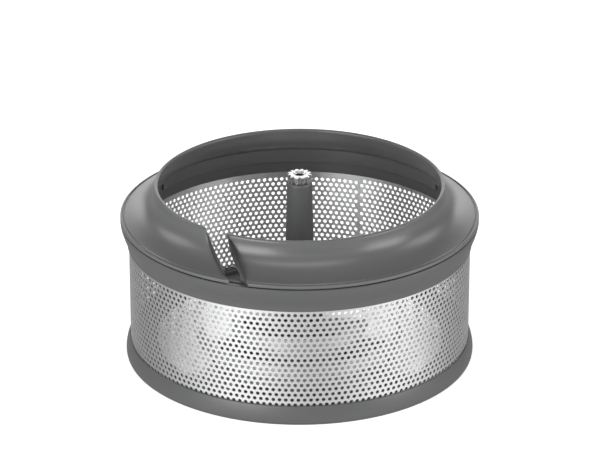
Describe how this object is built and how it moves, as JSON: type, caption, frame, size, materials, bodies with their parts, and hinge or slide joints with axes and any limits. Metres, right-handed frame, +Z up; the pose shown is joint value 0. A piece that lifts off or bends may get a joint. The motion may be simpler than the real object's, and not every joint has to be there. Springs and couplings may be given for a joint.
{
  "type": "centrifugal juicer filter drum",
  "caption": "Round perforated steel filter drum with plastic rings, a central drive column and a split pulp collar that lifts off.",
  "frame": {"origin": "on the drum's axis, in the plane that the drum stands on", "axes": "+Z up along the spin axis, -Y towards the front, with the collar's cut at the front left"},
  "size_m": [0.18, 0.18, 0.0962],
  "materials": {
    "ring_plastic": "dark grey moulded plastic, satin",
    "hub_plastic": "darker grey moulded plastic, fine texture",
    "collar_plastic": "mid grey moulded plastic, satin",
    "screen_steel": "bright perforated stainless sheet",
    "disc_steel": "bright pressed stainless sheet",
    "coupling_steel": "machined stainless steel",
    "fastener_steel": "plain stainless steel",
    "bush_polymer": "off-white bearing polymer",
    "seal_rubber": "black rubber"
  },
  "bodies": {
    "drum": {"base_ring": "ring_plastic", "drum_floor": "hub_plastic", "grating_disc": "disc_steel", "filter_screen": "screen_steel", "upper_ring": "ring_plastic", "collar_seal": "seal_rubber", "drive_column": "hub_plastic", "lower_bush": "bush_polymer", "upper_bush": "bush_polymer", "drive_coupling": "coupling_steel", "coupling_pin": "fastener_steel", "hub_screw_1": "fastener_steel", "hub_screw_2": "fastener_steel", "hub_screw_3": "fastener_steel", "hub_screw_4": "fastener_steel", "base_screw_1": "fastener_steel", "base_screw_2": "fastener_steel", "base_screw_3": "fastener_steel", "base_screw_4": "fastener_steel", "base_screw_5": "fastener_steel", "base_screw_6": "fastener_steel", "disc_rivet_1": "fastener_steel", "disc_rivet_2": "fastener_steel", "disc_rivet_3": "fastener_steel", "disc_rivet_4": "fastener_steel", "disc_rivet_5": "fastener_steel", "disc_rivet_6": "fastener_steel"},
    "collar": {"pulp_collar": "collar_plastic"}
  },
  "joints": [
    {"name": "collar_lift", "type": "slide", "parent": "drum", "child": "collar", "axis": [0, 0, 1], "range_m": [0, 0.036]}
  ]
}
